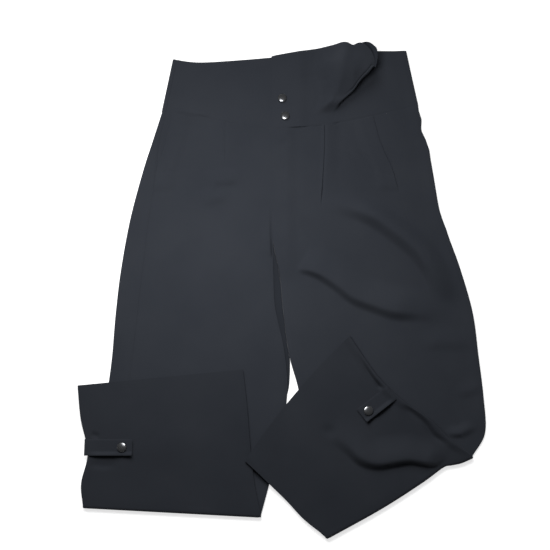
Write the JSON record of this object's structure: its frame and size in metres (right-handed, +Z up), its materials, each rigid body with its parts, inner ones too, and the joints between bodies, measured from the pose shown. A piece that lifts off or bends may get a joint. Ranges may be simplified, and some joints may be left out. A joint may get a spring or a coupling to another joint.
{
  "type": "wide-leg trousers",
  "caption": "Wide-leg cloth trousers laid flat on their back, deep waistband with a slack diagonal fold, both lower legs turned up over the front, hem tabs and domed snaps.",
  "frame": {"origin": "under the middle of the laid garment's box, on the surface it lies on", "axes": "+Z up from the surface, +Y from the hems to the waist, +X towards the wearer's left"},
  "size_m": [0.6314, 0.8038, 0.0296],
  "materials": {
    "cloth": "matt smooth weave, dark charcoal",
    "metal": "polished"
  },
  "bodies": {
    "root": {"back_leg_right": "cloth", "front_leg_right": "cloth", "pocket_side_right": "cloth", "tab_right": "cloth", "snap_cap_tab_right": "metal", "back_leg_left": "cloth", "front_leg_left": "cloth", "pocket_side_left": "cloth", "tab_left": "cloth", "snap_cap_tab_left": "metal", "waistband_back": "cloth", "waistband_front_right": "cloth", "waistband_front_left": "cloth", "snap_cap_upper": "metal", "snap_cap_lower": "metal"}
  },
  "joints": []
}
